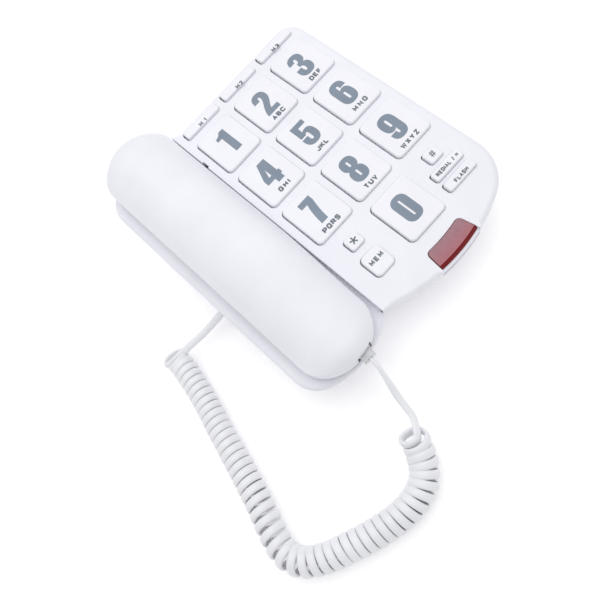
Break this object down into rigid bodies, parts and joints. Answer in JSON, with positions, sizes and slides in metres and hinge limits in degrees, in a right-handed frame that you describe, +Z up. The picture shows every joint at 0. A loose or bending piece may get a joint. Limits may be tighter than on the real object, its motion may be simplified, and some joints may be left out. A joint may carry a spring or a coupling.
{
  "type": "corded telephone",
  "caption": "Corded desk telephone with big number keys, sloping deck, handset resting in a side cradle, and a curly handset cord lying beside it.",
  "frame": {"origin": "on the table under the middle of the telephone, without its free cord", "axes": "+Z up, -Y towards the person using it, +X to the right with the handset on the left"},
  "size_m": [0.2442, 0.2724, 0.0697],
  "materials": {
    "shell_plastic": "satin white moulded plastic",
    "key_plastic": "satin white moulded plastic",
    "legend_print": "printed slate legend",
    "legend_small": "printed dark legend",
    "lens_plastic": "red translucent plastic",
    "led_plastic": "clear red",
    "foot_rubber": "matt",
    "mat_rubber": "matt silicone",
    "steel": "zinc plated",
    "circuit_board": "green lacquer",
    "black_plastic": "matt black",
    "cord_vinyl": "satin white vinyl",
    "plug_clear": "clear polycarbonate"
  },
  "bodies": {
    "base": {"base_top_cover": "shell_plastic", "base_bottom_cover": "shell_plastic", "rubber_feet": "foot_rubber", "case_screws": "steel", "ballast_plate": "steel", "keypad_mat": "mat_rubber", "keypad_board": "circuit_board", "keypad_screws": "steel", "main_board": "circuit_board", "board_components": "black_plastic", "hook_spring": "steel", "hook_switch": "black_plastic", "ringer_buzzer": "black_plastic", "ringer_lens": "lens_plastic", "ringer_led": "led_plastic", "line_jack": "black_plastic", "base_cord_jack": "black_plastic", "curly_coil": "cord_vinyl", "base_lead": "cord_vinyl", "base_plug": "plug_clear"},
    "hook": {"hook_plunger": "key_plastic"},
    "handset": {"handset_back_shell": "shell_plastic", "handset_face_shell": "shell_plastic", "receiver_capsule": "black_plastic", "microphone": "black_plastic", "handset_weight": "steel", "handset_cord_jack": "black_plastic", "handset_screws": "steel", "handset_plug": "plug_clear", "handset_lead": "cord_vinyl"},
    "key_1": {"key_1": "key_plastic"},
    "key_2": {"key_2": "key_plastic"},
    "key_3": {"key_3": "key_plastic"},
    "key_4": {"key_4": "key_plastic"},
    "key_5": {"key_5": "key_plastic"},
    "key_6": {"key_6": "key_plastic"},
    "key_7": {"key_7": "key_plastic"},
    "key_8": {"key_8": "key_plastic"},
    "key_9": {"key_9": "key_plastic"},
    "key_0": {"key_0": "key_plastic"},
    "key_star": {"key_star": "key_plastic"},
    "key_hash": {"key_hash": "key_plastic"},
    "key_m1": {"key_m1": "key_plastic"},
    "key_m2": {"key_m2": "key_plastic"},
    "key_m3": {"key_m3": "key_plastic"},
    "key_mem": {"key_mem": "key_plastic"},
    "key_redial": {"key_redial": "key_plastic"},
    "key_flash": {"key_flash": "key_plastic"}
  },
  "joints": [
    {"name": "handset_lift", "type": "slide", "parent": "base", "child": "handset", "axis": [0, -0.1219, 0.9925], "range_m": [0, 0.08]},
    {"name": "hook_travel", "type": "slide", "parent": "base", "child": "hook", "axis": [0, -0.1219, 0.9925], "range_m": [0, 0.004], "deforming": ["hook_spring"]},
    {"name": "key_1_press", "type": "slide", "parent": "base", "child": "key_1", "axis": [0, 0.1219, -0.9925], "range_m": [0, 0.0018], "stiffness_N_per_m": 300, "springref_m": -0.001},
    {"name": "key_2_press", "type": "slide", "parent": "base", "child": "key_2", "axis": [0, 0.1219, -0.9925], "range_m": [0, 0.0018], "stiffness_N_per_m": 300, "springref_m": -0.001},
    {"name": "key_3_press", "type": "slide", "parent": "base", "child": "key_3", "axis": [0, 0.1219, -0.9925], "range_m": [0, 0.0018], "stiffness_N_per_m": 300, "springref_m": -0.001},
    {"name": "key_4_press", "type": "slide", "parent": "base", "child": "key_4", "axis": [0, 0.1219, -0.9925], "range_m": [0, 0.0018], "stiffness_N_per_m": 300, "springref_m": -0.001},
    {"name": "key_5_press", "type": "slide", "parent": "base", "child": "key_5", "axis": [0, 0.1219, -0.9925], "range_m": [0, 0.0018], "stiffness_N_per_m": 300, "springref_m": -0.001},
    {"name": "key_6_press", "type": "slide", "parent": "base", "child": "key_6", "axis": [0, 0.1219, -0.9925], "range_m": [0, 0.0018], "stiffness_N_per_m": 300, "springref_m": -0.001},
    {"name": "key_7_press", "type": "slide", "parent": "base", "child": "key_7", "axis": [0, 0.1219, -0.9925], "range_m": [0, 0.0018], "stiffness_N_per_m": 300, "springref_m": -0.001},
    {"name": "key_8_press", "type": "slide", "parent": "base", "child": "key_8", "axis": [0, 0.1219, -0.9925], "range_m": [0, 0.0018], "stiffness_N_per_m": 300, "springref_m": -0.001},
    {"name": "key_9_press", "type": "slide", "parent": "base", "child": "key_9", "axis": [0, 0.1219, -0.9925], "range_m": [0, 0.0018], "stiffness_N_per_m": 300, "springref_m": -0.001},
    {"name": "key_0_press", "type": "slide", "parent": "base", "child": "key_0", "axis": [0, 0.1219, -0.9925], "range_m": [0, 0.0018], "stiffness_N_per_m": 300, "springref_m": -0.001},
    {"name": "key_star_press", "type": "slide", "parent": "base", "child": "key_star", "axis": [0, 0.1219, -0.9925], "range_m": [0, 0.0018], "stiffness_N_per_m": 300, "springref_m": -0.001},
    {"name": "key_hash_press", "type": "slide", "parent": "base", "child": "key_hash", "axis": [0, 0.1219, -0.9925], "range_m": [0, 0.0018], "stiffness_N_per_m": 300, "springref_m": -0.001},
    {"name": "key_m1_press", "type": "slide", "parent": "base", "child": "key_m1", "axis": [0, 0.1219, -0.9925], "range_m": [0, 0.0018], "stiffness_N_per_m": 300, "springref_m": -0.001},
    {"name": "key_m2_press", "type": "slide", "parent": "base", "child": "key_m2", "axis": [0, 0.1219, -0.9925], "range_m": [0, 0.0018], "stiffness_N_per_m": 300, "springref_m": -0.001},
    {"name": "key_m3_press", "type": "slide", "parent": "base", "child": "key_m3", "axis": [0, 0.1219, -0.9925], "range_m": [0, 0.0018], "stiffness_N_per_m": 300, "springref_m": -0.001},
    {"name": "key_mem_press", "type": "slide", "parent": "base", "child": "key_mem", "axis": [0, 0.1219, -0.9925], "range_m": [0, 0.0018], "stiffness_N_per_m": 300, "springref_m": -0.001},
    {"name": "key_redial_press", "type": "slide", "parent": "base", "child": "key_redial", "axis": [0, 0.1219, -0.9925], "range_m": [0, 0.0018], "stiffness_N_per_m": 300, "springref_m": -0.001},
    {"name": "key_flash_press", "type": "slide", "parent": "base", "child": "key_flash", "axis": [0, 0.1219, -0.9925], "range_m": [0, 0.0018], "stiffness_N_per_m": 300, "springref_m": -0.001}
  ],
  "couplings": [
    {"joint": "hook_travel", "follows": "handset_lift", "ratio": 0.05}
  ]
}
